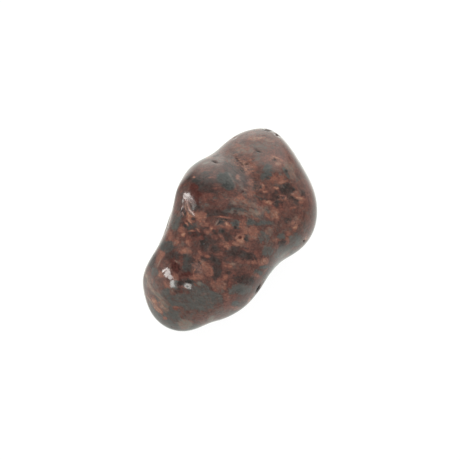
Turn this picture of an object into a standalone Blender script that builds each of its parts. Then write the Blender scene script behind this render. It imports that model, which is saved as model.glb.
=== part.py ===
"""A tumbled bronzite pebble: one solid piece of polished stone, lying on its flattest side.

The stone is drawn as a few rounded lobes that flow into one another. Flats worn in the
tumbler are shaved off it. Broad soft pushes and folds then raise or sink its skin, and small
pits are sunk where grains have broken out. The skin is found along straight lines from one
point inside the stone, so the mesh is closed.
The tables are in millimetres and the mesh is in metres, with +Z up. The origin is on the flat
that the stone rests on, and +Y runs along the stone, from its foot to its head.
"""

import bmesh
import bpy
import numpy as np

# The stone's real length along Y, in metres. Its other sizes follow from the tables.
LENGTH = 0.0376

# The point inside the stone that every line to the skin starts from.
CORE = np.array((-0.5, 0.5, 8.5))
# Longer than any line from the core to the skin.
FAR = 30.0

# Each lobe is an ellipsoid: its centre, and its half lengths along X, Y and Z.
LOBES = {
    "head": ((0.4, 8.4, 8.4), (8.2, 9.4, 9.0)),
    "crown": ((-1.0, 12.6, 9.0), (6.4, 5.8, 6.6)),
    "cheek": ((6.0, 6.4, 8.4), (5.7, 6.4, 6.6)),
    "shoulder": ((-4.4, 2.4, 9.2), (6.5, 6.8, 8.4)),
    "flank": ((-4.8, -4.6, 8.0), (4.6, 9.0, 6.8)),
    "belly": ((1.8, -3.6, 8.6), (7.9, 9.7, 8.0)),
    "foot": ((-1.2, -12.0, 7.4), (7.2, 6.8, 7.0)),
    "chest": ((-0.6, -1.0, 7.9), (7.0, 5.2, 8.6)),
    "keel": ((0.6, 2.0, 6.0), (6.0, 8.0, 6.9)),
}
# How wide the hollow between two lobes is filled.
LOBE_BLEND = 1.2

# Each flat: its outward direction, its distance from the core, and how far its rim is rounded.
FLATS = {
    "rest": ((0.0, 0.0, -1.0), 8.6, 0.3),
    "brow": ((0.56, 0.81, 0.16), 16.1, 1.2),
    "head_face": ((0.0, 0.19, 0.98), 10.2, 0.7),
    "foot_end": ((0.22, -0.87, 0.44), 15.95, 0.8),
    "foot_left": ((-0.62, -0.62, 0.48), 14.75, 0.7),
}

# Each push: a point on the skin, how far the push spreads, and how high it raises the skin.
PUSHES = {
    "crown": ((-8.0, 11.2, 12.3), 4.0, 0.8),
    "crown_notch": ((-8.9, 10.0, 13.0), 1.6, 0.3),
    "brow_corner": ((8.0, 13.0, 10.0), 2.6, 0.55),
    "cheek_edge": ((11.6, 7.5, 7.5), 3.0, -0.05),
    "shoulder_edge": ((-9.9, 5.5, 13.0), 2.6, 0.35),
    "crown_edge": ((-3.0, 17.2, 12.0), 2.0, 0.45),
    "shoulder_brink": ((-8.8, -0.6, 14.9), 1.7, 0.45),
    "shoulder_side": ((-11.0, -1.5, 10.5), 2.2, -0.35),
    "head_top": ((3.8, 8.0, 17.0), 3.4, 0.5),
    "head_slope": ((-1.0, 12.6, 16.8), 3.0, -0.25),
    "left_nip": ((-9.2, -8.8, 9.8), 3.0, -0.95),
    "foot_side": ((-8.5, -14.3, 5.5), 2.6, 0.3),
    "foot_edge": ((-7.2, -16.2, 6.0), 2.0, -0.3),
    "foot_dip": ((-5.9, -12.4, 13.2), 1.6, -0.25),
    "foot_ridge": ((-3.2, -15.6, 12.6), 1.5, 0.22),
    "right_nip": ((9.6, -4.0, 6.2), 2.5, -0.5),
    "heel": ((7.2, -10.8, 5.0), 3.0, 0.9),
    "under_heel": ((4.9, -15.1, 4.4), 2.0, -0.6),
    "toe": ((-0.6, -18.2, 4.0), 3.4, 0.57),
}

# Soft folds along a curve from a start past a middle to an end: their spread and height.
FOLDS = {
    "valley": ((-5.4, 10.0, 15.4), (0.8, 6.2, 18.4), (10.2, 2.0, 12.6), 1.7, -1.3),
    "shoulder_rim": ((-6.6, 5.0, 16.6), (-0.2, 3.0, 17.8), (7.4, -1.2, 14.6), 1.5, 0.2),
}
# Straight steps that each curve is followed in.
FOLD_STEPS = 12

# Each pit: a point on the skin, how far it spreads, and its depth.
PITS = {
    "top_edge": ((-2.8, 17.6, 13.5), 0.42, 0.30),
    "top_edge_end": ((-0.8, 17.1, 14.1), 0.35, 0.22),
    "crown_back": ((-6.4, 12.8, 14.3), 0.26, 0.12),
    "crown_face": ((-1.1, 11.1, 17.0), 0.28, 0.14),
    "shoulder_back": ((-6.4, 5.9, 16.6), 0.26, 0.10),
    "valley_top": ((-1.4, 8.1, 16.9), 0.38, 0.22),
    "heel": ((9.1, -6.5, 7.1), 0.40, 0.26),
    "back": ((-7.1, 15.3, 7.3), 0.42, 0.26),
    "far_side": ((-11.0, 1.6, 8.4), 0.36, 0.22),
}

# The starting ball is stretched to about the stone's shape, which spaces the points evenly.
BALL_PROPORTIONS = np.array((11.0, 18.5, 9.0))
# 5 gives the ball 5120 triangles, each about a millimetre wide.
BALL_SUBDIVISIONS = 5
# The ball is cut finer this far around each pit, by this many cuts in each edge.
PIT_MARGIN = 1.8
PIT_CUTS = 3
# Halvings of the search for the skin, down to a millionth of a millimetre.
HALVINGS = 34

STONE_COLOUR = (0.075, 0.036, 0.027, 1.0)
STONE_ROUGHNESS = 0.18


def clear_scene():
    for old in list(bpy.data.objects):
        bpy.data.objects.remove(old)


def lobe_distance(points, centre, half):
    """About how far each point is outside an ellipsoid, negative inside it."""
    offset = points - np.array(centre)
    near = np.linalg.norm(offset / np.array(half), axis=1)
    steep = np.linalg.norm(offset / np.array(half) ** 2, axis=1)
    return near * (near - 1.0) / np.maximum(steep, 1e-9)


def soft_max(a, b, soft):
    return np.maximum(a, b) + soft * np.log1p(np.exp(-np.abs(a - b) / soft))


def body_distance(points):
    """About how far each point is outside the blended lobes, with the flats shaved off."""
    lobes = [lobe_distance(points, centre, half) for centre, half in LOBES.values()]
    nearest = np.min(lobes, axis=0)
    filled = sum(np.exp((nearest - lobe) / LOBE_BLEND) for lobe in lobes)
    body = nearest - LOBE_BLEND * np.log(filled)
    for direction, reach, rounding in FLATS.values():
        outward = np.array(direction) / np.linalg.norm(direction)
        body = soft_max(body, (points - CORE) @ outward - reach, rounding)
    return body


def bell(points, place, spread):
    """1 at the place, falling smoothly to 0 around it."""
    gap = np.linalg.norm(points - np.array(place), axis=1)
    return np.exp(-0.5 * (gap / spread) ** 2)


def fold_height(points, start, middle, end, spread, height):
    """A soft ridge or hollow along a curve, fading out at both its ends."""
    along = np.linspace(0.0, 1.0, FOLD_STEPS + 1)[:, None]
    curve = (1 - along) ** 2 * np.array(start) + 2 * along * (1 - along) * np.array(middle)
    curve += along ** 2 * np.array(end)
    gap = np.full(len(points), FAR)
    strength = np.zeros(len(points))
    for step in range(FOLD_STEPS):
        run = curve[step + 1] - curve[step]
        share = np.clip((points - curve[step]) @ run / (run @ run), 0.0, 1.0)
        apart = np.linalg.norm(points - curve[step] - share[:, None] * run, axis=1)
        nearer = apart < gap
        gap = np.where(nearer, apart, gap)
        strength = np.where(nearer, np.sin(np.pi * (step + share) / FOLD_STEPS), strength)
    return height * strength * np.exp(-0.5 * (gap / spread) ** 2)


def skin_points(directions):
    """Where the line from the core along each unit direction meets the skin, in millimetres."""
    inner = np.zeros(len(directions))
    outer = np.full(len(directions), FAR)
    for _ in range(HALVINGS):
        middle = (inner + outer) / 2
        inside = body_distance(CORE + directions * middle[:, None]) < 0
        inner = np.where(inside, middle, inner)
        outer = np.where(inside, outer, middle)
    points = CORE + directions * inner[:, None]
    raised = sum(height * bell(points, place, spread) for place, spread, height in PUSHES.values())
    raised = raised + sum(fold_height(points, *fold) for fold in FOLDS.values())
    points = points + directions * raised[:, None]
    sunk = sum(depth * bell(points, place, spread) for place, spread, depth in PITS.values())
    points = points - directions * sunk[:, None]
    # The middle of the resting flat is truly flat.
    points[:, 2] = np.maximum(points[:, 2], 0.0)
    return points


def ball_directions(ball):
    """The unit direction of each of the ball's points, seen from its middle."""
    places = np.array([vertex.co for vertex in ball.verts], float)
    return places / np.linalg.norm(places, axis=1)[:, None]


def cut_finer_at_pits(ball):
    """Gives the ball more points where a pit will be sunk in it."""
    points = skin_points(ball_directions(ball))
    near = np.zeros(len(points), bool)
    for place, _, _ in PITS.values():
        near |= np.linalg.norm(points - np.array(place), axis=1) < PIT_MARGIN
    edges = [edge for edge in ball.edges if all(near[vertex.index] for vertex in edge.verts)]
    bmesh.ops.subdivide_edges(ball, edges=edges, cuts=PIT_CUTS, use_grid_fill=True)
    bmesh.ops.triangulate(ball, faces=ball.faces[:])


def stone_material():
    material = bpy.data.materials.new("polished_bronzite")
    material.use_nodes = True
    shader = material.node_tree.nodes["Principled BSDF"]
    shader.inputs["Base Color"].default_value = STONE_COLOUR
    shader.inputs["Roughness"].default_value = STONE_ROUGHNESS
    shader.inputs["Metallic"].default_value = 0.0
    material.diffuse_color = STONE_COLOUR
    return material


def build_stone():
    ball = bmesh.new()
    bmesh.ops.create_icosphere(ball, subdivisions=BALL_SUBDIVISIONS, radius=1.0)
    for vertex in ball.verts:
        vertex.co = np.array(vertex.co) * BALL_PROPORTIONS
    cut_finer_at_pits(ball)
    points = skin_points(ball_directions(ball))
    points *= LENGTH / np.ptp(points[:, 1])
    for vertex, point in zip(ball.verts, points):
        vertex.co = point
    mesh = bpy.data.meshes.new("stone")
    ball.to_mesh(mesh)
    ball.free()
    mesh.shade_smooth()
    mesh.materials.append(stone_material())
    stone = bpy.data.objects.new("stone", mesh)
    bpy.context.scene.collection.objects.link(stone)
    return stone


clear_scene()
build_stone()
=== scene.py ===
import math
from collections import namedtuple

import bmesh
import bpy
import numpy as np
from mathutils import Matrix, Vector, kdtree, noise


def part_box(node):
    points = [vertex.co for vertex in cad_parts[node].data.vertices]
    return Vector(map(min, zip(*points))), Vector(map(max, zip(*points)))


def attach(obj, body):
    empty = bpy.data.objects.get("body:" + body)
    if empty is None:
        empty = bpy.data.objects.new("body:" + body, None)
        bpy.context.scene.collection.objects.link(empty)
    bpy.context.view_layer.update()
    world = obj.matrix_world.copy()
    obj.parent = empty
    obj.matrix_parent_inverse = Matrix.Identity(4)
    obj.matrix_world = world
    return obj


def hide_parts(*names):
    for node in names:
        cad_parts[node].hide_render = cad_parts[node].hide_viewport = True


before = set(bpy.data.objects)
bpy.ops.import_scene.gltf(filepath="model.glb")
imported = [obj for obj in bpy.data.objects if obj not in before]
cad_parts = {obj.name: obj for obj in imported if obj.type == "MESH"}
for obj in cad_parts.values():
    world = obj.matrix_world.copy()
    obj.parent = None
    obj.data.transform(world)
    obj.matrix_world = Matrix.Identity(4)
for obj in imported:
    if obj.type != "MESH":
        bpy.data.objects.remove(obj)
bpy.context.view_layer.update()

STONE_LOW, STONE_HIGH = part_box("stone")
STONE_LENGTH = STONE_HIGH[1] - STONE_LOW[1]

# The camera looks down on the stone as in the photograph. Its picture is 460 pixels square.
PHOTO_SIDE = 460
VIEW_AZIMUTH = 30.0
VIEW_ELEVATION = 60.0
VIEW_DISTANCE = 0.300
VIEW_AIM = np.array((0.0, 0.0, 0.00875))
PIXELS_PER_METRE = 6110.0
SENSOR_MM = 36.0
# Nothing nearer or farther than these, in metres, is drawn.
NEAREST_DRAWN = 0.01
FARTHEST_DRAWN = 20.0

# The stone's shape, in millimetres, as its CAD solid is drawn.
CORE = np.array((-0.5, 0.5, 8.5))
# Longer than any line from the core to the skin.
FAR = 30.0
# Each lobe is an ellipsoid: its centre, and its half lengths along X, Y and Z.
LOBES = {
    "head": ((0.4, 8.4, 8.4), (8.2, 9.4, 9.0)),
    "crown": ((-1.0, 12.6, 9.0), (6.4, 5.8, 6.6)),
    "cheek": ((6.0, 6.4, 8.4), (5.7, 6.4, 6.6)),
    "shoulder": ((-4.4, 2.4, 9.2), (6.5, 6.8, 8.4)),
    "flank": ((-4.8, -4.6, 8.0), (4.6, 9.0, 6.8)),
    "belly": ((1.8, -3.6, 8.6), (7.9, 9.7, 8.0)),
    "foot": ((-1.2, -12.0, 7.4), (7.2, 6.8, 7.0)),
    "chest": ((-0.6, -1.0, 7.9), (7.0, 5.2, 8.6)),
    "keel": ((0.6, 2.0, 6.0), (6.0, 8.0, 6.9)),
}
# How wide the hollow between two lobes is filled.
LOBE_BLEND = 1.2
# Each flat: its outward direction, its distance from the core, and how far its rim is rounded.
FLATS = {
    "rest": ((0.0, 0.0, -1.0), 8.6, 0.3),
    "brow": ((0.56, 0.81, 0.16), 16.1, 1.2),
    "head_face": ((0.0, 0.19, 0.98), 10.2, 0.7),
    "foot_end": ((0.22, -0.87, 0.44), 15.95, 0.8),
    "foot_left": ((-0.62, -0.62, 0.48), 14.75, 0.7),
}
# Each push: a point on the skin, how far the push spreads, and how high it raises the skin.
PUSHES = {
    "crown": ((-8.0, 11.2, 12.3), 4.0, 0.8),
    "crown_notch": ((-8.9, 10.0, 13.0), 1.6, 0.3),
    "brow_corner": ((8.0, 13.0, 10.0), 2.6, 0.55),
    "cheek_edge": ((11.6, 7.5, 7.5), 3.0, -0.05),
    "shoulder_edge": ((-9.9, 5.5, 13.0), 2.6, 0.35),
    "crown_edge": ((-3.0, 17.2, 12.0), 2.0, 0.45),
    "shoulder_brink": ((-8.8, -0.6, 14.9), 1.7, 0.45),
    "shoulder_side": ((-11.0, -1.5, 10.5), 2.2, -0.35),
    "head_top": ((3.8, 8.0, 17.0), 3.4, 0.5),
    "head_slope": ((-1.0, 12.6, 16.8), 3.0, -0.25),
    "left_nip": ((-9.2, -8.8, 9.8), 3.0, -0.95),
    "foot_side": ((-8.5, -14.3, 5.5), 2.6, 0.3),
    "foot_edge": ((-7.2, -16.2, 6.0), 2.0, -0.3),
    "foot_dip": ((-5.9, -12.4, 13.2), 1.6, -0.25),
    "foot_ridge": ((-3.2, -15.6, 12.6), 1.5, 0.22),
    "right_nip": ((9.6, -4.0, 6.2), 2.5, -0.5),
    "heel": ((7.2, -10.8, 5.0), 3.0, 0.9),
    "under_heel": ((4.9, -15.1, 4.4), 2.0, -0.6),
    "toe": ((-0.6, -18.2, 4.0), 3.4, 0.57),
}
# Soft folds along a curve from a start past a middle to an end: their spread and height.
FOLDS = {
    "valley": ((-5.4, 10.0, 15.4), (0.8, 6.2, 18.4), (10.2, 2.0, 12.6), 1.7, -1.3),
    "shoulder_rim": ((-6.6, 5.0, 16.6), (-0.2, 3.0, 17.8), (7.4, -1.2, 14.6), 1.5, 0.2),
}
# Straight steps that each curve is followed in.
FOLD_STEPS = 12
# Each pit: a point on the skin, how far it spreads, and its depth.
PITS = {
    "top_edge": ((-2.8, 17.6, 13.5), 0.42, 0.30),
    "top_edge_end": ((-0.8, 17.1, 14.1), 0.35, 0.22),
    "crown_back": ((-6.4, 12.8, 14.3), 0.26, 0.12),
    "crown_face": ((-1.1, 11.1, 17.0), 0.28, 0.14),
    "shoulder_back": ((-6.4, 5.9, 16.6), 0.26, 0.10),
    "valley_top": ((-1.4, 8.1, 16.9), 0.38, 0.22),
    "heel": ((9.1, -6.5, 7.1), 0.40, 0.26),
    "back": ((-7.1, 15.3, 7.3), 0.42, 0.26),
    "far_side": ((-11.0, 1.6, 8.4), 0.36, 0.22),
}
# The starting ball is stretched to about the stone's shape, which spaces the points evenly.
BALL_PROPORTIONS = np.array((11.0, 18.5, 9.0))
# Squares along each edge of the cube that is blown up to the stone's skin.
SKIN_SQUARES = 128
# Halvings of the search for the skin, down to a millionth of a millimetre.
HALVINGS = 34

# What the grains of the stone look like. Each tone has a shade, from -1 for the darkest ground to
# 1 for the brightest bronze, and a warmth, from -1 for grey-green to 1 for red.
TONES = {
    "black_green": (-1.00, -0.45),
    "teal": (-0.42, -1.00),
    "deep_teal": (-0.80, -1.00),
    "grey_green": (-0.15, -0.78),
    "dark_green": (-0.58, -0.60),
    "pale_green_and_glint": (0.45, -0.90),
    "olive": (0.62, -0.85),
    "dark": (-0.74, -0.05),
    "dark_red": (-0.70, 1.00),
    "dark_brown": (-0.76, 0.35),
    "umber": (-0.16, 0.15),
    "brown": (0.02, 0.05),
    "red_brown": (0.04, 0.60),
    "mauve": (0.04, -0.30),
    "pale_mauve_and_sheen": (0.42, -0.36),
    "copper": (0.52, 0.14),
    "pink": (0.60, 0.45),
    "bright_copper": (0.82, 0.22),
    "orange": (1.00, 0.65),
    "tan": (0.85, -0.25),
    "pale_and_glint": (0.88, -0.65),
}
# A patch of the picture, in its pixels: its middle across and down, its length and width, and its
# angle in degrees from the picture's right towards its top.
Patch = namedtuple("Patch", "across down length width angle")
# The grains that can be told apart in the photograph, and a few splinters of the pale tones that are
# painted highlights. Bigger ones lie under smaller ones, and of equal ones the first lies lowest.
GRAINS = {
    "umber": [
        (206, 168, 34, 16, 22), (254, 178, 12, 7, -20), (240, 272, 10, 6, 0), (200, 255, 16, 8, 0),
        (209, 219, 9, 8, 0), (217, 187, 11, 8, 0), (203, 190, 70, 50, 30), (226, 235, 120, 76, -15),
        (186, 262, 76, 56, 60), (236, 276, 60, 50, 40),
    ],
    "grey_green": [
        (190, 306, 84, 50, -10), (197, 299, 54, 22, 0), (164, 321, 18, 13, -40), (284, 250, 26, 9, 35),
        (296, 239, 14, 12, 45), (243, 212, 10, 5, 0), (148, 281, 10, 6, 80), (176, 301, 18, 16, 0),
        (264, 237, 14, 10, -20), (244, 286, 18, 15, 80), (283, 247, 8, 5, 20), (267, 251, 12, 10, 20),
        (155, 272, 8, 8, 80), (281, 237, 8, 7, 0), (233, 289, 12, 8, 50), (176, 222, 17, 10, 80),
    ],
    "teal": [
        (268, 170, 16, 7, 82), (264, 177, 9, 5, 10), (286, 173, 14, 3, -60), (236, 211, 22, 6, 0),
        (259, 223, 25, 5, 0), (236, 225, 9, 9, 70), (264, 267, 10, 3, 0), (258, 272, 8, 6, -30),
        (235, 304, 10, 5, 10), (240, 290, 9, 8, 0), (251, 221, 8, 4, 0),
    ],
    "dark_green": [
        (168, 246, 17, 10, 0), (187, 264, 20, 9, 85), (190, 226, 13, 8, -20), (165, 251, 8, 7, 0),
    ],
    "deep_teal": [(226, 181, 22, 13, -42), (229, 176, 12, 5, -50)],
    "pale_green_and_glint": [
        # (217, 222) is a painted glint: a pale fleck where a highlight shows.
        (206, 163, 8, 2, 15), (285, 254, 14, 3, 35), (217, 222, 5, 1.6, 55), (160, 296, 14, 3, -40),
        (166, 306, 6, 3, -30), (232, 212, 2.5, 4, 0),
    ],
    "olive": [(185, 324, 15, 10, 0), (212, 318, 8, 5, 20), (177, 262, 7, 2, -30), (199, 284, 3, 5, 80)],
    "dark": [
        (191, 261, 7, 6, 0), (215, 249, 8, 7, 0), (209, 213, 8, 6, 0), (206, 177, 10, 6, 0),
        (233, 172, 30, 9, -54), (200, 180, 28, 10, -8), (208, 186, 30, 14, 0), (216, 213, 24, 7, -5),
        (287, 190, 15, 11, 80), (294, 198, 13, 4, -22), (230, 206, 9, 7, 0), (153, 262, 17, 7, 75),
        (172, 256, 17, 11, -10), (240, 252, 27, 11, 0), (205, 244, 13, 9, 80), (217, 270, 22, 8, 80),
        (244, 279, 22, 10, -20), (226, 238, 12, 9, 60), (177, 290, 6, 4, 0), (210, 232, 20, 7, -20),
        (262, 190, 5, 10, 0), (282, 243, 6, 5, 0), (206, 173, 12, 4, 5), (194, 207, 9, 5, -75),
        (221, 222, 9, 6, 20), (246, 239, 3, 8, 0), (255, 186, 4, 8, 0), (278, 205, 9, 7, 0),
        (275, 196, 7, 11, 0), (226, 246, 6, 5, 0), (213, 258, 13, 7, -30), (288, 221, 6, 9, 80),
        (199, 262, 7, 2, -50), (229, 273, 6, 3, 0), (250, 257, 16, 7, -10), (242, 171, 9, 5, -55),
        (302, 193, 3, 6, 0), (213, 240, 12, 8, 20), (204, 258, 9, 4, 0), (182, 256, 10, 4, 0),
        (236, 214, 6, 8, 0), (193, 219, 5, 3, -30),
    ],
    "black_green": [
        (184, 213, 3, 7, -20), (197, 206, 2.5, 7, 60), (187, 226, 6, 4, -10), (188, 281, 10, 4, -10),
        (245, 238, 2.5, 5, 0), (181, 283, 5, 4, 0), (224, 220, 9, 3, 0), (285, 188, 8, 6, 60),
        (196, 181, 7, 3, 0), (222, 231, 5, 6, 60), (286, 171, 3, 3, 0), (203, 242, 5, 4, 0),
        (236, 227, 4, 4, 0), (258, 289, 2, 8, 25), (268, 178, 3, 4, 0), (293, 190, 2.5, 2.5, 0),
    ],
    "dark_brown": [
        (241, 179, 20, 11, -55), (227, 168, 11, 9, -50), (198, 234, 16, 8, 0), (185, 225, 8, 7, 0),
        (179, 285, 5, 5, 0),
    ],
    "dark_red": [
        (197, 203, 9, 4, -75), (198, 194, 7, 9, 80), (194, 187, 8, 7, 0), (194, 198, 20, 6, -75),
        (183, 211, 7, 5, -60), (176, 267, 12, 9, -70), (181, 279, 9, 6, -60), (172, 261, 8, 5, 0),
        (186, 275, 12, 6, 10), (282, 197, 5, 2, 5), (240, 237, 3, 3, 0),
    ],
    "brown": [
        (251, 249, 8, 7, 0), (275, 159, 7, 6, 0), (215, 237, 8, 6, 0), (197, 285, 8, 6, 0),
        (208, 317, 44, 15, 6), (250, 200, 24, 9, -5), (222, 200, 16, 12, 70), (214, 226, 12, 6, -35),
        (262, 160, 96, 70, -35), (297, 212, 46, 78, 0), (158, 262, 30, 90, -20), (255, 150, 50, 24, -10),
        (300, 180, 22, 12, -55), (301, 213, 20, 18, 80), (276, 222, 15, 12, 80), (270, 244, 20, 11, -5),
        (240, 266, 22, 12, 5), (204, 224, 18, 14, -30), (183, 247, 20, 15, -50), (205, 324, 16, 6, 10),
        (207, 171, 18, 4, 10), (254, 272, 14, 8, -50), (284, 211, 12, 10, 90), (160, 283, 16, 8, -45),
        (272, 233, 14, 8, -70), (252, 189, 16, 12, 80), (235, 196, 10, 12, 80), (219, 254, 10, 9, 0),
        (265, 160, 20, 10, 10), (226, 197, 10, 8, 0), (213, 247, 10, 6, 20), (260, 205, 24, 8, 0),
    ],
    "red_brown": [
        (281, 207, 8, 7, 0), (179, 291, 6, 5, 0), (236, 273, 13, 7, 0), (185, 279, 7, 6, 0),
        (282, 158, 26, 18, -45), (207, 197, 11, 9, 0), (231, 298, 15, 11, 70), (227, 304, 10, 7, 80),
        (230, 284, 9, 5, 80), (181, 261, 9, 4, 85), (216, 228, 9, 5, -20), (176, 204, 14, 4, 78),
        (309, 196, 30, 8, 92), (230, 242, 9, 4, -50), (256, 254, 8, 4, -70), (264, 203, 12, 6, 0),
        (245, 250, 10, 3, -20), (190, 240, 9, 5, -50), (198, 238, 9, 4, 20), (180, 187, 7, 4, 70),
    ],
    "mauve": [
        (233, 201, 8, 7, 0), (185, 315, 9, 7, 0), (287, 231, 7, 6, 0), (245, 207, 8, 5, 0),
        (299, 231, 7, 6, 0), (173, 292, 8, 6, -45), (180, 309, 9, 7, 0), (185, 292, 7, 5, 0),
        (254, 218, 13, 7, -8), (281, 171, 9, 7, 0), (221, 292, 8, 6, 0), (229, 158, 14, 9, -45),
        (222, 309, 18, 12, 0), (157, 287, 13, 5, -45), (270, 146, 12, 6, -30), (222, 158, 14, 7, 20),
        (195, 314, 24, 8, -3), (241, 203, 12, 6, 0), (205, 205, 9, 5, 0), (256, 212, 17, 8, -12),
        (240, 188, 10, 7, 80), (305, 226, 10, 7, 70), (219, 166, 8, 5, 0), (257, 157, 16, 8, 20),
        (154, 292, 16, 6, -45), (269, 210, 4, 8, 0), (262, 145, 22, 6, 0),
    ],
    "pale_mauve_and_sheen": [
        (251, 219, 8, 5, 0), (173, 291, 7, 6, -40), (245, 201, 8, 6, 0), (167, 303, 9, 5, -40),
        (163, 306, 14, 9, -45), (269, 231, 8, 8, 0), (293, 177, 8, 7, -60), (243, 149, 22, 9, -15),
        (250, 206, 22, 8, -8), (262, 208, 10, 7, 0), (244, 213, 12, 4, -10), (236, 200, 9, 6, 40),
        (268, 140, 12, 3, -12), (247, 203, 8, 4, 0), (156, 290, 14, 6, -48), (150, 280, 9, 5, -70),
        # (230, 175), (233, 181) and (235, 187) are a painted reflection: the pale sheen along the
        # shoulder's ridge.
        (290, 168, 17, 9, -62), (230, 175, 6, 1.3, -50), (233, 181, 6, 1.3, -62),
        (235, 187, 5, 1.3, -70), (255, 213, 14, 6, -10),
    ],
    "copper": [
        (227, 297, 8, 6, 0), (251, 183, 8, 6, 0), (167, 285, 9, 7, -40), (221, 227, 8, 5, -20),
        (245, 231, 7, 7, 0), (293, 223, 9, 4, 5), (190, 213, 12, 7, -65), (299, 219, 6, 8, 80),
        (206, 222, 16, 11, -30), (272, 213, 13, 12, 0), (253, 233, 15, 11, 80), (241, 244, 20, 6, -8),
        (244, 225, 12, 6, 88), (242, 224, 11, 5, 80), (226, 245, 10, 7, -45), (202, 265, 28, 9, -50),
        (209, 271, 13, 9, -50), (197, 277, 16, 7, 5), (186, 251, 12, 7, 0), (170, 236, 12, 6, -75),
        (160, 274, 10, 7, -40), (176, 277, 10, 7, -40), (182, 229, 9, 6, 0), (218, 285, 18, 11, -50),
        (263, 262, 12, 8, 5), (240, 198, 10, 5, 80), (272, 179, 13, 6, 0), (283, 178, 10, 5, 25),
        (298, 196, 15, 7, -30), (276, 160, 16, 5, -20), (181, 287, 9, 4, 0), (234, 308, 13, 4, -5),
        (250, 163, 17, 8, -40), (187, 209, 25, 5, -80), (252, 193, 8, 9, 80), (159, 258, 16, 6, 65),
        (222, 238, 9, 3, -55), (253, 262, 10, 5, 10), (246, 172, 12, 4, -35), (204, 216, 9, 7, 0),
        (196, 216, 12, 8, -40), (208, 232, 10, 5, -20), (189, 243, 7, 4, -60), (176, 242, 9, 5, 60),
        (276, 240, 9, 3, 0),
    ],
    "pink": [
        (162, 254, 8, 6, 60), (257, 275, 6, 4, -40), (290, 234, 8, 4, -20), (287, 239, 3, 8, 5),
        (293, 208, 7, 2.5, 12), (207, 256, 7, 3, -10), (200, 253, 6, 3, -50), (176, 308, 6, 4, 0),
        (165, 318, 5, 3.5, -40), (238, 145, 9, 2, -20), (227, 266, 11, 5, -15), (229, 226, 7, 5, -30),
        (262, 190, 5, 3, 0), (301, 202, 5, 3, 0), (225, 278, 7, 4, 55),
    ],
    "bright_copper": [
        (191, 219, 7, 5, -50), (201, 215, 11, 8, 0), (276, 215, 7, 5, 90), (241, 238, 12, 9, 10),
        (236, 244, 9, 4, -5), (202, 261, 14, 4, -52), (226, 246, 5, 5, 0), (265, 262, 7, 5, 0),
        (268, 202, 8, 4, -12), (186, 250, 7, 4, 0), (245, 165, 12, 3, -40), (306, 238, 6, 5, 40),
        (282, 182, 12, 3, 10), (161, 274, 5, 5, -30), (238, 178, 5, 5, 0),
    ],
    "orange": [
        (183, 235, 4.5, 4, 0), (263, 186, 7, 2.5, -65), (276, 188, 6, 3, -15), (265, 192, 4, 2, 0),
        (282, 195.3, 9, 1.4, -8), (282, 200, 8, 1.3, -6), (286, 198, 3.5, 1.6, 70),
        (300, 198, 9, 2, -20), (294, 228, 3, 5, 0), (191, 212, 8, 2.2, -60), (192, 218, 7, 2.2, -50),
        (190, 222, 8, 1.6, -50), (198, 230, 5, 1.4, -42), (223, 217, 14, 1.4, -6), (211, 228, 4, 4, 0),
        (192, 231, 6, 1.5, 0), (194, 177, 3, 2.0, 0), (210, 177, 3, 1.2, 0), (154, 302, 8, 4, -50),
        (158, 309, 12, 4, -50), (239, 160, 12, 1.5, -50), (248, 164, 10, 1.4, -30),
        (246, 169, 9, 1.3, -45), (277, 158, 12, 1.6, -25), (188, 213, 6, 1.6, -70),
        (185, 206, 8, 1.6, -78), (183, 214, 5, 1.4, -60), (187, 224, 6, 2, -50), (251, 160, 5, 1.2, 20),
        (252, 171, 6, 1.4, -30), (227, 223, 5, 2, -30),
    ],
    "pale_and_glint": [
        (164, 307, 10, 5, -45), (257, 213, 7, 5, 0), (155, 293, 30, 2.6, -47), (163, 303, 12, 2.4, -40),
        # (217, 223) is a painted glint, and (169.6, 221) and (165.6, 231) are painted highlights: pale
        # lines along the left waist's rim.
        (149, 284, 9, 2.4, -60), (217, 223, 4, 1.2, 45), (169.6, 221, 13, 1.3, 74),
        (165.6, 231, 10, 1.3, 62), (146, 274, 12, 2.2, -75), (150, 300, 16, 1.6, -50),
        (244, 189, 5, 1.2, -20), (160, 262, 10, 1.4, 65),
    ],
    "tan": [
        (256, 138, 16, 3.8, 3), (295, 193, 8, 1.5, 30), (297, 198, 13, 1.5, -30),
        (195, 267, 9, 1.4, -42), (199, 270, 9, 1.2, -45), (233, 264, 6, 3, 0), (278, 164, 6, 3, 0),
        # (216, 224) is a painted glint, laid in the tan tone.
        (225, 284, 3, 2, 0), (216, 224, 4, 1.4, 50), (208, 264, 8, 1.3, -45),
    ],
}
# How soft a grain's edge is, in pixels, before the crumbs make it ragged.
GRAIN_EDGE = 1.0
# A grain no wider than this, in pixels, is a splinter: it lies sharply over the crumbs.
SPLINTER_WIDTH = 3.6
SPLINTER_EDGE = 0.6
# How the edges wander, in pixels: how far, and over what length. A splinter's wander half as far.
GRAIN_WANDER = ((1.4, 9.0), (1.0, 3.4))
# What is laid from the photograph fades out where the skin turns away from the camera: it is in
# full down to this cosine of the angle between them.
SEEN_IN_FULL = 0.12
# The grains are made of small crumbs, each of one tone. They are drawn out along the rock's
# fabric, which runs down to the right in the photograph.
CRUMBS = 24000
CRUMB_SEED = 5
FABRIC_ANGLE = -42.0
CRUMB_STRETCH = 2.4
# How far a crumb's shade and warmth stray from its grain's, and how much of its one tone it keeps.
CRUMB_SPREAD = (0.15, 0.30)
CRUMB_SHARE = 0.7

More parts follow.
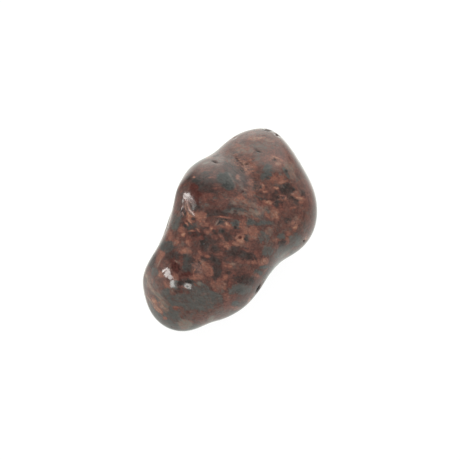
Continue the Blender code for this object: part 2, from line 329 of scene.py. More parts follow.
# Slits and holes where crumbs have broken out of the polished face, as patches.
NICKS = [
    (267.5, 130.4, 8, 1.2, -8), (277, 135, 2, 1.2, -30), (215, 162, 6, 1.4, -20),
    (258, 151, 6, 1.4, -25), (237, 159, 6, 1.4, -48), (242, 164, 5, 1.4, -45), (247, 164, 4, 2, 10),
    (304, 241, 2.2, 2, 0), (192, 214, 5, 1.0, -60), (182, 210, 5, 1.2, 60),
    (186.5, 207, 7, 1.0, -72), (191, 206, 6, 1.0, -65), (184, 203, 4, 0.9, -80), (189, 212, 5, 1.0, -50),
    (219, 223, 5, 1.2, 40), (181, 216, 4, 1.0, 60), (258, 289, 8, 1.6, 62),
]
# Finer scratches, this much as deep.
SCRATCHES = [
    (187.3, 286.6, 1.0, 1.0, 0), (185, 196.5, 6, 0.6, -55), (188, 204, 5, 0.6, -60),
    (190, 199, 3, 0.6, -20), (168.2, 222, 12, 0.8, 74), (164.2, 232, 8, 0.8, 62), (264, 136, 3, 1.0, 0),
    (238, 175, 4, 0.8, -60), (246, 160, 4, 0.8, -30), (252, 166, 4, 0.8, -50), (228, 222, 4, 0.8, 20),
]
SCRATCH_SHARE = 0.3
# How soft the edges of nicks and scratches are, in pixels.
NICK_EDGE = 0.7
# Places where the polish is worn and the crystals stand a little proud, as patches with soft edges.
WORN_PLACES = [
    (242, 164, 28, 12, -48), (189, 205, 11, 12, -70), (180, 213, 6, 5, 0), (222, 222, 16, 8, -10),
    (284, 197, 14, 6, 0), (164, 232, 26, 5, 68), (276, 160, 14, 6, -30), (256, 186, 16, 12, 0),
    (197, 268, 16, 10, -45), (158, 304, 22, 7, -50), (261, 286, 16, 5, 62), (295, 224, 12, 8, 0),
]
WORN_EDGE = 3.0

# The weathering of the whole skin, in metres: soft ripples left by the tumbler, the relief of the
# worn places, the depth of the photographed nicks, and small pits scattered all over.
RIPPLE_HEIGHT = 0.000004
RIPPLE_LENGTH = 0.0018
WORN_HEIGHT = 0.000008
WORN_LENGTH = 0.0005
# How many times finer bumps are added to the worn relief.
WORN_DETAIL = 3.0
NICK_DEPTH = 0.00012
PIT_GAP = 0.0019
# The most pits on a square metre.
PIT_DENSITY = 160000.0
PIT_WIDTH = 0.00024
PIT_DEPTH = 0.00005
# The smallest pit, as a share of the biggest.
SMALLEST_PIT = 0.35
PIT_SEED = 7
# The stone is kept on the positive side of this corner, which is level with its resting flat.
LOWEST_CORNER = (-1.0, -1.0, 0.0)


def add_object(name, data):
    item = bpy.data.objects.new(name, data)
    bpy.context.scene.collection.objects.link(item)
    return item


def lobe_distance(points, centre, half):
    """About how far each point is outside an ellipsoid, negative inside it."""
    offset = points - np.array(centre)
    near = np.linalg.norm(offset / np.array(half), axis=1)
    steep = np.linalg.norm(offset / np.array(half) ** 2, axis=1)
    return near * (near - 1.0) / np.maximum(steep, 1e-9)


def soft_max(a, b, soft):
    return np.maximum(a, b) + soft * np.log1p(np.exp(-np.abs(a - b) / soft))


def body_distance(points):
    """About how far each point is outside the blended lobes, with the flats shaved off."""
    lobes = [lobe_distance(points, centre, half) for centre, half in LOBES.values()]
    nearest = np.min(lobes, axis=0)
    filled = sum(np.exp((nearest - lobe) / LOBE_BLEND) for lobe in lobes)
    body = nearest - LOBE_BLEND * np.log(filled)
    for direction, reach, rounding in FLATS.values():
        outward = np.array(direction) / np.linalg.norm(direction)
        body = soft_max(body, (points - CORE) @ outward - reach, rounding)
    return body


def bell(points, place, spread):
    """1 at the place, falling smoothly to 0 around it."""
    gap = np.linalg.norm(points - np.array(place), axis=1)
    return np.exp(-0.5 * (gap / spread) ** 2)


def fold_height(points, start, middle, end, spread, height):
    """A soft ridge or hollow along a curve, fading out at both its ends."""
    along = np.linspace(0.0, 1.0, FOLD_STEPS + 1)[:, None]
    curve = (1 - along) ** 2 * np.array(start) + 2 * along * (1 - along) * np.array(middle)
    curve += along ** 2 * np.array(end)
    gap = np.full(len(points), FAR)
    strength = np.zeros(len(points))
    for step in range(FOLD_STEPS):
        run = curve[step + 1] - curve[step]
        share = np.clip((points - curve[step]) @ run / (run @ run), 0.0, 1.0)
        apart = np.linalg.norm(points - curve[step] - share[:, None] * run, axis=1)
        nearer = apart < gap
        gap = np.where(nearer, apart, gap)
        strength = np.where(nearer, np.sin(np.pi * (step + share) / FOLD_STEPS), strength)
    return height * strength * np.exp(-0.5 * (gap / spread) ** 2)


def skin_points(directions):
    """Where the line from the core along each unit direction meets the skin, in millimetres."""
    inner = np.zeros(len(directions))
    outer = np.full(len(directions), FAR)
    for _ in range(HALVINGS):
        middle = (inner + outer) / 2
        inside = body_distance(CORE + directions * middle[:, None]) < 0
        inner = np.where(inside, middle, inner)
        outer = np.where(inside, outer, middle)
    points = CORE + directions * inner[:, None]
    raised = sum(height * bell(points, place, spread) for place, spread, height in PUSHES.values())
    raised = raised + sum(fold_height(points, *fold) for fold in FOLDS.values())
    points = points + directions * raised[:, None]
    sunk = sum(depth * bell(points, place, spread) for place, spread, depth in PITS.values())
    points = points - directions * sunk[:, None]
    # The middle of the resting flat is truly flat.
    points[:, 2] = np.maximum(points[:, 2], 0.0)
    return points


def stone_skin():
    """The stone's fine skin: a cube cut into squares, blown up along even directions."""
    cube = bmesh.new()
    bmesh.ops.create_cube(cube, size=2.0)
    bmesh.ops.subdivide_edges(cube, edges=cube.edges[:], cuts=SKIN_SQUARES - 1, use_grid_fill=True)
    corners = np.array([vertex.co for vertex in cube.verts], float)
    ball = np.tan(corners * math.pi / 4)
    ball /= np.linalg.norm(ball, axis=1)[:, None]
    directions = ball * BALL_PROPORTIONS
    directions /= np.linalg.norm(directions, axis=1)[:, None]
    points = skin_points(directions)
    points *= STONE_LENGTH / np.ptp(points[:, 1])
    mesh = bpy.data.meshes.new("bronzite_pebble")
    cube.to_mesh(mesh)
    cube.free()
    mesh.vertices.foreach_set("co", points.astype(np.float32).ravel())
    mesh.shade_smooth()
    mesh.update()
    return add_object("bronzite_pebble", mesh)


def view_axes():
    """Unit directions to the picture's right, to its top, and towards the camera."""
    azimuth, elevation = math.radians(VIEW_AZIMUTH), math.radians(VIEW_ELEVATION)
    right = np.array((math.cos(azimuth), math.sin(azimuth), 0.0))
    back = np.array((
        math.sin(azimuth) * math.cos(elevation),
        -math.cos(azimuth) * math.cos(elevation),
        math.sin(elevation),
    ))
    return right, np.cross(back, right), back


PICTURE_RIGHT, PICTURE_TOP, TO_CAMERA = view_axes()
EYE = VIEW_AIM + TO_CAMERA * VIEW_DISTANCE


def add_camera():
    camera = add_object("camera", bpy.data.cameras.new("camera"))
    camera.data.sensor_width = SENSOR_MM
    camera.data.lens = SENSOR_MM * VIEW_DISTANCE * PIXELS_PER_METRE / PHOTO_SIDE
    camera.data.clip_start = NEAREST_DRAWN
    camera.data.clip_end = FARTHEST_DRAWN
    camera.location = EYE
    camera.rotation_euler = Vector(TO_CAMERA).to_track_quat("Z", "Y").to_euler()
    bpy.context.scene.camera = camera


def picture_places(points):
    """Where points in metres lie in the photograph, in pixels across and down."""
    offset = points - EYE
    scale = VIEW_DISTANCE * PIXELS_PER_METRE / -(offset @ TO_CAMERA)
    across = PHOTO_SIDE / 2 + offset @ PICTURE_RIGHT * scale
    down = PHOTO_SIDE / 2 - offset @ PICTURE_TOP * scale
    return across, down


def picture_direction(angle):
    """The direction at an angle in the picture, in degrees from its right towards its top."""
    turn = math.radians(angle)
    return PICTURE_RIGHT * math.cos(turn) + PICTURE_TOP * math.sin(turn)


def wander(points, reach, length):
    """A smooth random drift of each point, up to about the reach, over the given length."""
    drift = [noise.noise_vector(Vector(point) / length) for point in points]
    return np.array(drift) * reach


def smooth_step(values, low, high):
    share = np.clip((values - low) / (high - low), 0.0, 1.0)
    return share * share * (3.0 - 2.0 * share)


def crumb_middles(points):
    """For each point, the number of the point at the middle of its crumb, and the crumb's own draws."""
    fabric = picture_direction(FABRIC_ANGLE)
    squeezed = points - np.outer(points @ fabric, fabric) * (1.0 - 1.0 / CRUMB_STRETCH)
    draw = np.random.default_rng(CRUMB_SEED)
    middles = draw.choice(len(points), CRUMBS, replace=False)
    search = kdtree.KDTree(CRUMBS)
    for number, middle in enumerate(middles):
        search.insert(squeezed[middle], number)
    search.balance()
    crumbs = np.array([search.find(place)[1] for place in squeezed])
    strays = draw.uniform(-1.0, 1.0, (CRUMBS, 2)) * CRUMB_SPREAD
    return middles[crumbs], strays[crumbs]


def patch_cover(places, patch, edge):
    """1 at the places inside a patch of the picture and 0 outside it, with a soft edge."""
    across, down = places
    middle_across, middle_down, length, width, angle = patch
    turn = math.radians(angle)
    along = (across - middle_across) * math.cos(turn) - (down - middle_down) * math.sin(turn)
    aside = (across - middle_across) * math.sin(turn) + (down - middle_down) * math.cos(turn)
    ring = np.hypot(along / (length / 2), aside / (width / 2))
    return 1.0 - smooth_step((ring - 1.0) * min(length, width) / 2, -edge, edge)


def most_cover(places, patches, edge, seen):
    """The most that any of the patches covers each place, as far as the camera sees it."""
    return np.max([patch_cover(places, patch, edge) * seen for patch in patches], axis=0)


def lay_grains(grain, lamella, patches, places, edge, seen):
    """Lays patches of tone on the skin, in their order, where the camera sees it."""
    for tone, patch in patches:
        cover = (patch_cover(places, patch, edge) * seen)[:, None]
        grain += (np.array((*TONES[tone], 1.0)) - grain) * cover
        lamella += (picture_direction(patch.angle) - lamella) * cover


def vertex_vectors(mesh, name):
    """The places or the normals of a mesh's vertices, one row for each."""
    values = np.empty(len(mesh.vertices) * 3, np.float32)
    mesh.vertices.foreach_get(name, values)
    return values.reshape(-1, 3)


def paint_stone(mesh):
    """Lays the photographed grains and nicks on the skin, as attributes that the finish reads."""
    points = vertex_vectors(mesh, "co").astype(float)
    sight = EYE - points
    sight /= np.linalg.norm(sight, axis=1)[:, None]
    seen = smooth_step(np.sum(vertex_vectors(mesh, "normal") * sight, axis=1), 0.0, SEEN_IN_FULL)
    across, down = picture_places(points)
    pixels = points * PIXELS_PER_METRE
    drift = sum(wander(pixels, reach, length) for reach, length in GRAIN_WANDER)
    strayed_across = across + drift @ PICTURE_RIGHT
    strayed_down = down - drift @ PICTURE_TOP
    strayed = (strayed_across, strayed_down)
    half_strayed = ((across + strayed_across) / 2, (down + strayed_down) / 2)

    patches = [(tone, Patch(*row)) for tone, rows in GRAINS.items() for row in rows]
    patches.sort(key=lambda laid: laid[1].length * laid[1].width, reverse=True)
    grains = [laid for laid in patches if laid[1].width > SPLINTER_WIDTH]
    splinters = [laid for laid in patches if laid[1].width <= SPLINTER_WIDTH]
    grain = np.zeros((len(points), 3))
    lamella = np.zeros((len(points), 3))
    lay_grains(grain, lamella, grains, strayed, GRAIN_EDGE, seen)
    middles, strays = crumb_middles(points)
    grain += (grain[middles] - grain) * CRUMB_SHARE
    grain[:, :2] += strays
    lay_grains(grain, lamella, splinters, half_strayed, SPLINTER_EDGE, seen)

    nicks = most_cover((across, down), NICKS, NICK_EDGE, seen)
    scratches = most_cover((across, down), SCRATCHES, NICK_EDGE, seen)
    nick = np.maximum(nicks, scratches * SCRATCH_SHARE)
    worn = most_cover(strayed, WORN_PLACES, WORN_EDGE, seen)
    for name, values in (("grain", grain), ("lamella", lamella)):
        layer = mesh.attributes.new(name, "FLOAT_VECTOR", "POINT")
        layer.data.foreach_set("vector", values.astype(np.float32).ravel())
    for name, values in (("nick", nick), ("worn", worn)):
        layer = mesh.attributes.new(name, "FLOAT", "POINT")
        layer.data.foreach_set("value", values.astype(np.float32))


def put(tree, kind, inputs=None, **settings):
    """Adds a node. Its inputs, by name or number, are linked to a socket or set to a value."""
    node = tree.nodes.new(kind)
    for name, value in settings.items():
        setattr(node, name, value)
    for name, value in (inputs or {}).items():
        if isinstance(value, bpy.types.NodeSocket):
            tree.links.new(value, node.inputs[name])
        else:
            node.inputs[name].default_value = value
    return node


def reckon(tree, operation, *values):
    """The result of one sum on numbers."""
    return put(tree, "ShaderNodeMath", dict(enumerate(values)), operation=operation).outputs[0]


def vector_sum(tree, operation, *values):
    """The result of one sum on vectors."""
    node = put(tree, "ShaderNodeVectorMath", dict(enumerate(values)), operation=operation)
    return node.outputs["Value" if operation in ("DOT_PRODUCT", "DISTANCE") else "Vector"]


def scaled(tree, vector, size):
    node = put(tree, "ShaderNodeVectorMath", {0: vector, "Scale": size}, operation="SCALE")
    return node.outputs["Vector"]


def rise(tree, value, start, full, height=1.0):
    """Rises smoothly from 0, where the value is at the start, to the height, where it is full."""
    inputs = {"Value": value, "From Min": start, "From Max": full, "To Max": height}
    return put(tree, "ShaderNodeMapRange", inputs, interpolation_type="SMOOTHSTEP").outputs[0]


def cloudy(tree, place, scale, detail=2.0, roughness=0.5):
    inputs = {"Vector": place, "Scale": scale, "Detail": detail, "Roughness": roughness}
    return put(tree, "ShaderNodeTexNoise", inputs)


def cloud_value(tree, place, *pattern):
    """One cloudy number at each place, from 0 to 1."""
    return cloudy(tree, place, *pattern).outputs[0]


def swing(tree, value, reach=2.0):
    """Turns a value about 0.5 into one about 0, times the reach. A reach of 2 gives -1 to 1."""
    return reckon(tree, "MULTIPLY", reckon(tree, "SUBTRACT", value, 0.5), reach)


def vector_swing(tree, colour):
    """Turns a colour about mid grey into a vector about nothing."""
    return vector_sum(tree, "SUBTRACT", colour, (0.5, 0.5, 0.5))


def weathering_tree(sizes):
    """The skin with its ripples, worn relief, nicks and scattered pits, as a node tree."""
    tree = bpy.data.node_groups.new("weathered_skin", "GeometryNodeTree")
    tree.interface.new_socket("Geometry", in_out="INPUT", socket_type="NodeSocketGeometry")
    for name, value in sizes.items():
        kind = "NodeSocketInt" if isinstance(value, int) else "NodeSocketFloat"
        tree.interface.new_socket(name, in_out="INPUT", socket_type=kind).default_value = value
    tree.interface.new_socket("Finish", in_out="INPUT", socket_type="NodeSocketMaterial")
    tree.interface.new_socket("Geometry", in_out="OUTPUT", socket_type="NodeSocketGeometry")
    given = put(tree, "NodeGroupInput").outputs
    skin = given["Geometry"]
    place = put(tree, "GeometryNodeInputPosition").outputs[0]
    outward = put(tree, "GeometryNodeInputNormal").outputs[0]
    nick, worn = (
        put(tree, "GeometryNodeInputNamedAttribute", {"Name": name}, data_type="FLOAT").outputs["Attribute"]
        for name in ("nick", "worn")
    )

    scatter = {
        "Mesh": skin,
        "Distance Min": given["Pit Gap"],
        "Density Max": given["Pit Density"],
        "Seed": given["Seed"],
    }
    pits = put(tree, "GeometryNodeDistributePointsOnFaces", scatter, distribute_method="POISSON").outputs[0]
    nearest = put(tree, "GeometryNodeSampleNearest", {"Geometry": pits}).outputs[0]
    span = {"Min": given["Smallest Pit"], "Max": 1.0, "Seed": given["Seed"]}
    drawn = put(tree, "FunctionNodeRandomValue", span).outputs[1]
    middle, size = (
        put(
            tree, "GeometryNodeSampleIndex", {"Geometry": pits, "Value": value, "Index": nearest},
            data_type=kind,
        ).outputs[0]
        for value, kind in ((place, "FLOAT_VECTOR"), (drawn, "FLOAT"))
    )
    gap = vector_sum(tree, "DISTANCE", place, middle)
    reach = reckon(tree, "MULTIPLY", given["Pit Width"], size)
    inside = reckon(tree, "SUBTRACT", 1.0, reckon(tree, "DIVIDE", gap, reach))
    pit = reckon(tree, "MULTIPLY", rise(tree, inside, 0.0, 1.0), size)

    waves = cloud_value(tree, place, reckon(tree, "DIVIDE", 1.0, given["Ripple Length"]))
    ripple = reckon(tree, "MULTIPLY", swing(tree, waves), given["Ripple Height"])
    grit = cloud_value(tree, place, reckon(tree, "DIVIDE", 1.0, given["Worn Length"]), WORN_DETAIL)
    relief = reckon(tree, "MULTIPLY", swing(tree, grit), given["Worn Height"])
    relief = reckon(tree, "MULTIPLY", relief, worn)
    height = reckon(tree, "ADD", ripple, relief)
    height = reckon(tree, "SUBTRACT", height, reckon(tree, "MULTIPLY", nick, given["Nick Depth"]))
    height = reckon(tree, "SUBTRACT", height, reckon(tree, "MULTIPLY", pit, given["Pit Depth"]))
    offset = scaled(tree, outward, height)
    skin = put(tree, "GeometryNodeSetPosition", {"Geometry": skin, "Offset": offset}).outputs[0]
    # Nothing reaches below the surface that the stone lies on.
    above = vector_sum(tree, "MAXIMUM", place, LOWEST_CORNER)
    skin = put(tree, "GeometryNodeSetPosition", {"Geometry": skin, "Position": above}).outputs[0]

    hollow = reckon(tree, "MAXIMUM", nick, pit)
    skin = put(
        tree, "GeometryNodeStoreNamedAttribute", {"Geometry": skin, "Name": "hollow", "Value": hollow},
        data_type="FLOAT", domain="POINT",
    ).outputs[0]
    skin = put(tree, "GeometryNodeRealizeInstances", {"Geometry": skin}).outputs[0]
    skin = put(tree, "GeometryNodeSetMaterial", {"Geometry": skin, "Material": given["Finish"]}).outputs[0]
    put(tree, "NodeGroupOutput", {"Geometry": skin})
    return tree


def weather(stone, finish):
    """Runs the weathering on the stone and keeps its result as the stone's own plain mesh."""
    sizes = {
        "Ripple Height": RIPPLE_HEIGHT,
        "Ripple Length": RIPPLE_LENGTH,
        "Worn Height": WORN_HEIGHT,
        "Worn Length": WORN_LENGTH,
        "Nick Depth": NICK_DEPTH,
        "Pit Gap": PIT_GAP,
        "Pit Density": PIT_DENSITY,
        "Pit Width": PIT_WIDTH,
        "Pit Depth": PIT_DEPTH,
        "Smallest Pit": SMALLEST_PIT,
        "Seed": PIT_SEED,
    }
    modifier = stone.modifiers.new("weathering", "NODES")
    modifier.node_group = weathering_tree(sizes)
    for socket in modifier.node_group.interface.items_tree:
        if socket.in_out == "INPUT" and socket.name in sizes:
            modifier[socket.identifier] = sizes[socket.name]
        if socket.name == "Finish":
            modifier[socket.identifier] = finish
    scene_state = bpy.context.evaluated_depsgraph_get()
    mesh = bpy.data.meshes.new_from_object(
        stone.evaluated_get(scene_state), preserve_all_data_layers=True, depsgraph=scene_state)
    mesh.name = stone.name
    stone.modifiers.clear()
    stone.data = mesh


MM_PER_METRE = 1000.0
# The patterns in the stone. Each has its waves for each millimetre, how many times finer waves are
# added to these, and how strong the finer ones are.
BROAD_DRIFT = (0.34, 2.0, 0.5)
CLOSE_DRIFT = (1.5, 3.0, 0.5)
TINT = (0.9, 2.0, 0.5)
STREAKS = (2.6, 3.0, 0.6)
RAGGED = (1.7, 5.0, 0.7)
FINE = (5.0, 3.0, 0.6)
THREADS = (4.6, 2.0, 0.5)
# Random crystals, where no grain is laid, and the crumbs in them and in the grains.
CRYSTALS_PER_MM = 0.58
CRUMBS_PER_MM = 1.25
# How far the two drifts bend their outlines, in millimetres.
BROAD_BEND = 3.0
CLOSE_BEND = 2.3
# The span of the random crystals' shades and of their warmths, and the least of each.
CRYSTAL_SHADES = (1.5, -0.95)
CRYSTAL_WARMTHS = (1.5, -0.70)
# How thin the lamellae are drawn, where 1 would make endless threads, and how far they bend, in
# millimetres.
LAMELLA_THINNING = 0.86
LAMELLA_BEND = 0.5
# How far the crumbs and the tint swing the warmth.
CRUMB_WARMTH = 0.4
TINT_WARMTH = 1.1
# How far the patterns swing the shade, and how much more the crumbs do where no grain is laid.
CRUMB_SHADE = 0.24
BARE_CRUMB_SHADE = 0.6
RAGGED_SHADE = 0.95
STREAK_SHADE = 0.85
# How much of their swing the coolest grains lose.
COOL_CALM = 0.65

# Colours from the darkest ground to the brightest bronze, for each warmth.
COOL_STOPS = [
    (0.00, (0.034, 0.034, 0.031)), (0.24, (0.077, 0.076, 0.071)), (0.45, (0.113, 0.108, 0.098)),
    (0.62, (0.148, 0.129, 0.111)), (0.82, (0.196, 0.162, 0.130)), (1.00, (0.262, 0.210, 0.164)),
]
PLAIN_STOPS = [
    (0.00, (0.042, 0.027, 0.024)), (0.16, (0.068, 0.042, 0.037)), (0.36, (0.096, 0.051, 0.043)),
    (0.50, (0.128, 0.062, 0.050)), (0.68, (0.190, 0.084, 0.064)), (0.84, (0.250, 0.112, 0.080)),
    (1.00, (0.330, 0.170, 0.122)),
]
WARM_STOPS = [
    (0.00, (0.050, 0.014, 0.011)), (0.18, (0.084, 0.025, 0.020)), (0.45, (0.140, 0.050, 0.040)),
    (0.70, (0.240, 0.088, 0.064)), (0.88, (0.330, 0.135, 0.085)), (1.00, (0.430, 0.220, 0.135)),
]
# The tones gather at the ends of this many steps of the ramps, which gives the crystals clean edges.
TONE_STEPS = 5.0
TONE_CRISPNESS = 0.85

# Bright threads and dark cracks of the worn places: where in their pattern each starts and is full.
THREAD_RISE = (0.55, 0.66)
CRACK_RISE = (0.44, 0.35)
THREAD_COLOUR = (0.40, 0.16, 0.09)
THREAD_STRENGTH = 0.75
# How far the patterns swing the light, and how much of it the hollows and the cracks take away.
FINE_LIGHT = 1.1
STREAK_LIGHT = 0.5
HOLLOW_DARKNESS = 0.85
CRACK_DARKNESS = 0.55

# The roughness of the polish and how far it swings, and what hollows and worn places add to it.
POLISH_ROUGHNESS = 0.11
POLISH_SWING = 0.10
HOLLOW_ROUGHNESS = 0.75
WORN_ROUGHNESS = 0.28
# The finest relief, in metres. The patterns swing it by these shares, and it shows this much on
# sound polish and this much more in worn places.
FINEST_RELIEF = 0.000015
FINE_RELIEF = 0.5
STREAK_RELIEF = 1.0
SOUND_RELIEF = 0.08
WORN_RELIEF = 0.50
STONE_IOR = 1.67


def attribute(tree, name, output):
    return put(tree, "ShaderNodeAttribute", attribute_name=name).outputs[output]


def tone_ramp(tree, share, stops):
    ramp = put(tree, "ShaderNodeValToRGB", {"Fac": share})
    ramp.color_ramp.interpolation = "LINEAR"
    elements = ramp.color_ramp.elements
    for position, _ in stops[1:-1]:
        elements.new(position)
    for element, (position, colour) in zip(elements, stops):
        element.position = position
        element.color = (*colour, 1.0)
    return ramp.outputs["Color"]


def blend_colours(tree, share, first, second):
    mix = put(tree, "ShaderNodeMix", {"Factor": share, 6: first, 7: second}, data_type="RGBA")
    return mix.outputs[2]


def tone_colour(tree, share, warm, cool):
    """The stone's colour at a share of the way from the darkest ground to the brightest bronze."""
    wave = reckon(tree, "SINE", reckon(tree, "MULTIPLY", share, math.tau * TONE_STEPS))
    share = reckon(tree, "MULTIPLY_ADD", wave, -TONE_CRISPNESS / (math.tau * TONE_STEPS), share)
    plain, reddest, greyest = (
        tone_ramp(tree, share, stops) for stops in (PLAIN_STOPS, WARM_STOPS, COOL_STOPS)
    )
    return blend_colours(tree, cool, blend_colours(tree, warm, plain, reddest), greyest)


def random_cells(tree, place, close):
    """The random colours of the crystals and of the crumbs, whose outlines are bent by drifts."""
    broad = vector_swing(tree, cloudy(tree, place, *BROAD_DRIFT).outputs["Color"])
    bent = vector_sum(tree, "ADD", place, scaled(tree, broad, BROAD_BEND))
    bent = vector_sum(tree, "ADD", bent, scaled(tree, close, CLOSE_BEND))
    return [
        put(tree, "ShaderNodeTexVoronoi", {"Vector": bent, "Scale": scale}).outputs["Color"]
        for scale in (CRYSTALS_PER_MM, CRUMBS_PER_MM)
    ]


def along_lamellae(tree, place, direction, close):
    """Places squeezed along the lamellae, so that a pattern on them is drawn out into streaks."""
    direction = vector_sum(tree, "NORMALIZE", direction)
    run = vector_sum(tree, "DOT_PRODUCT", place, direction)
    squeeze = scaled(tree, scaled(tree, direction, run), LAMELLA_THINNING)
    squeezed = vector_sum(tree, "SUBTRACT", place, squeeze)
    return vector_sum(tree, "ADD", squeezed, scaled(tree, close, LAMELLA_BEND))


def lessened(tree, value, where, share):
    """Takes this share of a value away where the mask is 1."""
    return reckon(tree, "MULTIPLY", value, reckon(tree, "MULTIPLY_ADD", where, -share, 1.0))


def bronzite():
    """The polished stone: the laid grains, random crystals elsewhere, and fine patterns over both."""
    material = bpy.data.materials.new("polished_bronzite")
    material.use_nodes = True
    tree = material.node_tree
    shader = tree.nodes["Principled BSDF"]
    place = scaled(tree, put(tree, "ShaderNodeTexCoord").outputs["Object"], MM_PER_METRE)
    laid = put(tree, "ShaderNodeSeparateXYZ", {0: attribute(tree, "grain", "Vector")})
    laid_shade, laid_warmth, cover = laid.outputs
    bare = reckon(tree, "SUBTRACT", 1.0, cover)
    hollow = attribute(tree, "hollow", "Fac")
    worn = attribute(tree, "worn", "Fac")

    close = vector_swing(tree, cloudy(tree, place, *CLOSE_DRIFT).outputs["Color"])
    crystal_colours, crumb_colours = random_cells(tree, place, close)
    chance = put(tree, "ShaderNodeSeparateColor", {0: crystal_colours}).outputs
    crumb = put(tree, "ShaderNodeSeparateColor", {0: crumb_colours}).outputs
    lean = scaled(tree, vector_swing(tree, crystal_colours), bare)
    lamellae = vector_sum(tree, "ADD", attribute(tree, "lamella", "Vector"), lean)
    drawn_out = along_lamellae(tree, place, lamellae, close)
    streaks = cloud_value(tree, drawn_out, *STREAKS)
    threads = cloud_value(tree, drawn_out, *THREADS)
    ragged = cloud_value(tree, place, *RAGGED)
    fine = cloud_value(tree, place, *FINE)

    warmth = reckon(tree, "MULTIPLY_ADD", chance[1], *CRYSTAL_WARMTHS)
    warmth = reckon(tree, "MULTIPLY_ADD", warmth, bare, laid_warmth)
    warmth = reckon(tree, "ADD", warmth, swing(tree, crumb[1], CRUMB_WARMTH))
    warmth = reckon(tree, "ADD", warmth, swing(tree, cloud_value(tree, place, *TINT), TINT_WARMTH))
    warm = put(tree, "ShaderNodeClamp", {0: warmth}).outputs[0]
    cool = put(tree, "ShaderNodeClamp", {0: reckon(tree, "MULTIPLY", warmth, -1.0)}).outputs[0]
    lively = reckon(tree, "MULTIPLY_ADD", cool, -COOL_CALM, 1.0)
    shade = reckon(tree, "MULTIPLY_ADD", chance[0], *CRYSTAL_SHADES)
    shade = reckon(tree, "MULTIPLY_ADD", shade, bare, laid_shade)
    crumb_reach = reckon(tree, "MULTIPLY_ADD", bare, BARE_CRUMB_SHADE, CRUMB_SHADE)
    shade = reckon(tree, "ADD", shade, swing(tree, crumb[0], crumb_reach))
    shade = reckon(tree, "MULTIPLY_ADD", swing(tree, ragged, RAGGED_SHADE), lively, shade)
    shade = reckon(tree, "MULTIPLY_ADD", swing(tree, streaks, STREAK_SHADE), lively, shade)
    # The shade runs from -1 to 1, and the ramps from 0 to 1.
    colour = tone_colour(tree, reckon(tree, "MULTIPLY_ADD", shade, 0.5, 0.5), warm, cool)

    thread = reckon(tree, "MULTIPLY", rise(tree, threads, *THREAD_RISE), worn)
    thread = reckon(tree, "MULTIPLY", thread, THREAD_STRENGTH)
    crack = reckon(tree, "MULTIPLY", rise(tree, threads, *CRACK_RISE), worn)
    colour = blend_colours(tree, thread, colour, (*THREAD_COLOUR, 1.0))
    light = reckon(tree, "MULTIPLY_ADD", swing(tree, fine, FINE_LIGHT), lively, 1.0)
    light = reckon(tree, "MULTIPLY_ADD", swing(tree, streaks, STREAK_LIGHT), lively, light)
    light = lessened(tree, light, hollow, HOLLOW_DARKNESS)
    light = lessened(tree, light, crack, CRACK_DARKNESS)
    tree.links.new(scaled(tree, colour, light), shader.inputs["Base Color"])

    rough = reckon(tree, "ADD", POLISH_ROUGHNESS, swing(tree, ragged, POLISH_SWING))
    rough = reckon(tree, "MULTIPLY_ADD", hollow, HOLLOW_ROUGHNESS, rough)
    rough = reckon(tree, "MULTIPLY_ADD", worn, WORN_ROUGHNESS, rough)
    tree.links.new(rough, shader.inputs["Roughness"])
    relief = reckon(tree, "ADD", swing(tree, fine, FINE_RELIEF), swing(tree, streaks, STREAK_RELIEF))
    relief = reckon(tree, "SUBTRACT", relief, crack)
    shown = reckon(tree, "MULTIPLY_ADD", worn, WORN_RELIEF, SOUND_RELIEF)
    relief = reckon(tree, "MULTIPLY", relief, shown)
    bump = put(tree, "ShaderNodeBump", {"Height": relief, "Strength": 1.0, "Distance": FINEST_RELIEF})
    tree.links.new(bump.outputs["Normal"], shader.inputs["Normal"])
    shader.inputs["IOR"].default_value = STONE_IOR
    return material


# Soft glows of the light tent: direction, the angles in degrees where each is full and gone, strength.
GLOWS = {
    "back_wall": ((-0.46, 0.78, 0.42), 12.0, 44.0, 1.12),
    "back_low": ((-0.46, 0.76, -0.44), 12.0, 46.0, 0.95),
    "brow_wall": ((0.20, 0.96, 0.08), 8.0, 34.0, 0.30),
    "left_front": ((-0.75, -0.60, -0.12), 15.0, 55.0, 0.42),
    "right_side": ((0.90, 0.00, 0.30), 10.0, 75.0, 0.05),
    "near_floor": ((0.00, 0.00, -1.00), 30.0, 92.0, 0.78),
    "left_below": ((-0.40, 0.34, -0.85), 8.0, 24.0, 0.80),
}
# The tent's cloth is a little yellow-green.
TENT_COLOUR = (0.965, 1.0, 0.950)
TENT_AMBIENT = 0.12
# The even light that falls on everything and shows behind it, but not in reflections.
EVEN_COLOUR = (1.0, 1.0, 1.0)
EVEN_LIGHT = 0.74


def studio_world():
    """The light tent. Reflections show its glows, and everything else gets the even light too."""
    world = bpy.data.worlds.new("light_tent")
    world.use_nodes = True
    tree = world.node_tree
    tree.nodes.clear()
    outward = put(tree, "ShaderNodeTexCoord").outputs["Generated"]
    total = TENT_AMBIENT
    for direction, full, gone, strength in GLOWS.values():
        facing = vector_sum(tree, "DOT_PRODUCT", outward, Vector(direction).normalized())
        edge, core = math.cos(math.radians(gone)), math.cos(math.radians(full))
        total = reckon(tree, "ADD", total, rise(tree, facing, edge, core, strength))
    tent, even = (
        put(tree, "ShaderNodeBackground", {"Color": (*colour, 1.0), "Strength": strength}).outputs[0]
        for colour, strength in ((TENT_COLOUR, total), (EVEN_COLOUR, EVEN_LIGHT))
    )
    both = put(tree, "ShaderNodeAddShader", {0: even, 1: tent}).outputs[0]
    mirrored = put(tree, "ShaderNodeLightPath").outputs["Is Glossy Ray"]
    light = put(tree, "ShaderNodeMixShader", {"Fac": mirrored, 1: both, 2: tent}).outputs[0]
    put(tree, "ShaderNodeOutputWorld", {"Surface": light})
    bpy.context.scene.world = world


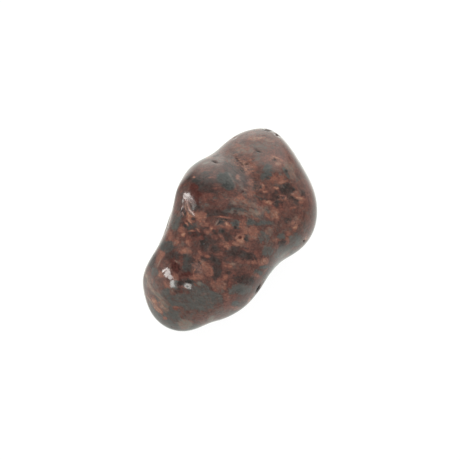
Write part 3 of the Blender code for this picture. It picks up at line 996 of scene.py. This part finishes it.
# The strip lamps that make the sharp highlights. Each runs between two directions from the stone,
# given by their azimuth and elevation in degrees, and has a width in metres and a brightness.
STRIPS = {
    "upright_box": ((-76.5, 14.0), (-76.5, 32.0), 0.052, 9.0),
    "wide_box": ((-71.0, 29.5), (-50.0, 38.5), 0.170, 7.2),
    "long_strip": ((-50.0, 40.0), (-22.0, 39.5), 0.092, 7.2),
    "short_strip": ((-15.5, 37.0), (0.5, 14.0), 0.072, 6.4),
    "small_box": ((13.0, 20.0), (14.5, 35.0), 0.076, 5.4),
}
LAMP_COLOUR = (1.0, 0.985, 0.955)
# How far the lamps' ends are from the stone, in metres.
STRIP_DISTANCE = 0.6


def towards(azimuth, elevation):
    """A unit direction. Azimuth 0 is -Y and 90 is +X."""
    azimuth, elevation = math.radians(azimuth), math.radians(elevation)
    flat = math.cos(elevation)
    return Vector((math.sin(azimuth) * flat, -math.cos(azimuth) * flat, math.sin(elevation)))


def add_strip_lamps():
    """Adds the lamps, which show in reflections but throw no light of their own on the stone's colour."""
    for name, (first, last, width, brightness) in STRIPS.items():
        start, end = (towards(*ends) * STRIP_DISTANCE for ends in (first, last))
        along = (end - start).normalized()
        back = ((start + end) / 2).normalized()
        lamp = add_object(name, bpy.data.lights.new(name, "AREA"))
        lamp.data.shape = "RECTANGLE"
        lamp.data.color = LAMP_COLOUR
        lamp.data.size = width
        lamp.data.size_y = (end - start).length
        lamp.data.energy = brightness * math.pi * lamp.data.size * lamp.data.size_y
        lamp.location = Vector(VIEW_AIM) + (start + end) / 2
        lamp.rotation_euler = Matrix((along.cross(back), along, back)).transposed().to_euler()
        lamp.visible_diffuse = False


# Half the floor's width, in metres.
FLOOR_HALF = 3.0
BOARD_WHITE = 0.72
# How much of the board's look is an even white glow when the camera sees it, and how bright that is.
BOARD_GLOW = 0.85
GLOW_BRIGHTNESS = 1.12


def pale_board():
    """A matt board, mostly white glow to the camera. Reflections pass through it to the tent."""
    material = bpy.data.materials.new("pale_board")
    material.use_nodes = True
    tree = material.node_tree
    tree.nodes.clear()
    white = (BOARD_WHITE, BOARD_WHITE, BOARD_WHITE, 1.0)
    board = put(tree, "ShaderNodeBsdfDiffuse", {"Color": white}).outputs[0]
    glow = put(tree, "ShaderNodeEmission", {"Strength": GLOW_BRIGHTNESS}).outputs[0]
    clear = put(tree, "ShaderNodeBsdfTransparent").outputs[0]
    rays = put(tree, "ShaderNodeLightPath").outputs
    share = reckon(tree, "MULTIPLY", rays["Is Camera Ray"], BOARD_GLOW)
    seen = put(tree, "ShaderNodeMixShader", {"Fac": share, 1: board, 2: glow}).outputs[0]
    look = put(tree, "ShaderNodeMixShader", {"Fac": rays["Is Glossy Ray"], 1: seen, 2: clear}).outputs[0]
    put(tree, "ShaderNodeOutputMaterial", {"Surface": look})
    return material


def add_floor():
    mesh = bpy.data.meshes.new("pale_floor")
    corners = [(x * FLOOR_HALF, y * FLOOR_HALF, 0.0) for x, y in ((-1, -1), (1, -1), (1, 1), (-1, 1))]
    mesh.from_pydata(corners, [], [(0, 1, 2, 3)])
    mesh.materials.append(pale_board())
    add_object("pale_floor", mesh)


def main():
    pebble = stone_skin()
    paint_stone(pebble.data)
    weather(pebble, bronzite())
    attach(pebble, "root")
    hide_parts("stone")
    add_floor()
    add_camera()
    studio_world()
    add_strip_lamps()
    bpy.context.scene.view_settings.view_transform = "Standard"


main()
